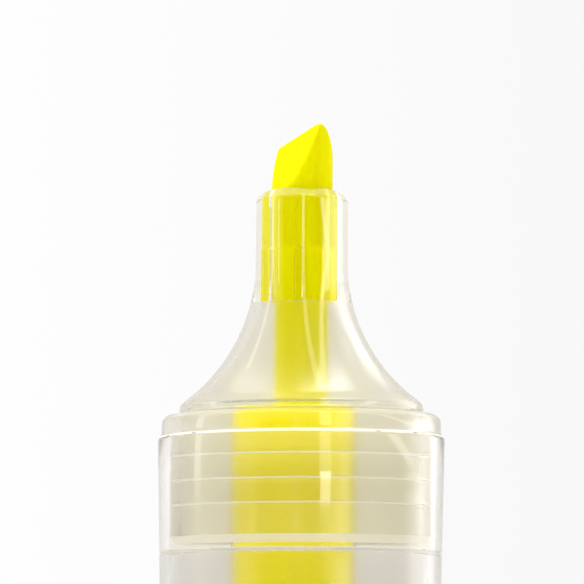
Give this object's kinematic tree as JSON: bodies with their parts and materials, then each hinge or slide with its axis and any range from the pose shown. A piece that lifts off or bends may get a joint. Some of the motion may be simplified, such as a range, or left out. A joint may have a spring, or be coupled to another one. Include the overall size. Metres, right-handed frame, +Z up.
{
  "type": "capped chisel-tip highlighter pen",
  "caption": "Flat-oval highlighter with a see-through barrel and flared nose, chisel nib, round ink reservoir, and a pull-off clip cap posted on its tail.",
  "frame": {"origin": "middle of the flat closed end of the posted cap, on which the pen stands", "axes": "+Z up along the pen towards the nib, +X across its width, +Y through its depth, with the clip on the -Y side"},
  "size_m": [0.0234, 0.0182, 0.1331],
  "materials": {
    "clear_barrel": "see-through natural polypropylene, glossy outside, finely matt inside",
    "clear_nose": "see-through natural polypropylene, glossy, with a clear collar",
    "nib_felt": "pressed fibre soaked in fluorescent yellow ink",
    "reservoir_fibre": "bundled polyester fibre soaked in fluorescent yellow ink",
    "reservoir_film": "thin clear film sleeve",
    "plug_plastic": "satin fluorescent yellow polypropylene",
    "cap_plastic": "satin fluorescent yellow polypropylene",
    "liner_plastic": "natural white polyethylene",
    "clip_plastic": "satin fluorescent yellow polypropylene"
  },
  "bodies": {
    "pen_body": {"barrel": "clear_barrel", "nose": "clear_nose", "nib": "nib_felt", "reservoir_core": "reservoir_fibre", "reservoir_film": "reservoir_film", "tail_plug": "plug_plastic"},
    "cap": {"cap_shell": "cap_plastic", "cap_liner": "liner_plastic", "cap_clip": "clip_plastic"}
  },
  "joints": [
    {"name": "cap_slide", "type": "slide", "parent": "cap", "child": "pen_body", "axis": [0, 0, 1], "range_m": [0, 0.02]}
  ]
}
